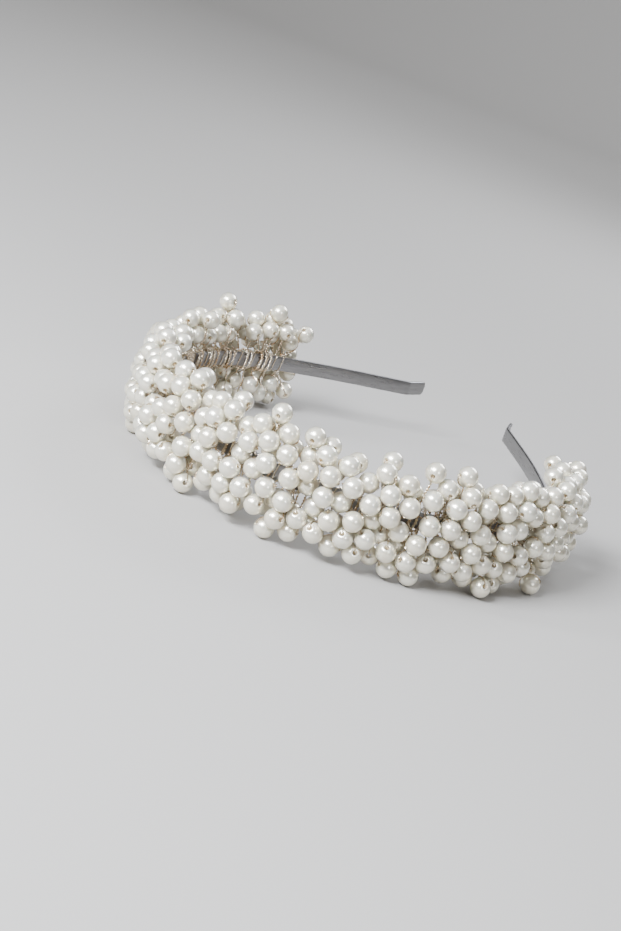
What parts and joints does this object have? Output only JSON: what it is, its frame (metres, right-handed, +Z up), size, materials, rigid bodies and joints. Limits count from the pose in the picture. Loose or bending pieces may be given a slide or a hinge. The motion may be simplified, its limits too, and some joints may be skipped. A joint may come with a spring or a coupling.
{
  "type": "pearl bridal headband",
  "caption": "Narrow flat steel headband covered with a thick garland of cream-white imitation pearls on twisted wire sprigs, lying on its side.",
  "frame": {"origin": "middle of the base of the box round the headband, on the surface it lies on", "axes": "+Z upwards, across the band's width; +Y from the middle of the crown towards the two open ends; +X from the left leg to the right leg"},
  "size_m": [0.1482, 0.1618, 0.0342],
  "materials": {
    "pearl": "pearl lacquer",
    "steel": "satin",
    "wire": "drawn and plated, champagne coloured"
  },
  "bodies": {
    "root": {"headband": "steel", "upper_sprig_01": "pearl", "upper_sprig_02": "pearl", "upper_sprig_03": "pearl", "upper_sprig_04": "pearl", "upper_sprig_05": "pearl", "upper_sprig_06": "pearl", "upper_sprig_07": "pearl", "upper_sprig_08": "pearl", "upper_sprig_09": "pearl", "upper_sprig_10": "pearl", "upper_sprig_11": "pearl", "upper_sprig_12": "pearl", "upper_sprig_13": "pearl", "upper_sprig_14": "pearl", "upper_sprig_15": "pearl", "upper_sprig_16": "pearl", "lower_sprig_01": "pearl", "lower_sprig_02": "pearl", "lower_sprig_03": "pearl", "lower_sprig_04": "pearl", "lower_sprig_05": "pearl", "lower_sprig_06": "pearl", "lower_sprig_07": "pearl", "lower_sprig_08": "pearl", "lower_sprig_09": "pearl", "lower_sprig_10": "pearl", "lower_sprig_11": "pearl", "lower_sprig_12": "pearl", "lower_sprig_13": "pearl", "lower_sprig_14": "pearl", "lower_sprig_15": "pearl"}
  },
  "joints": []
}
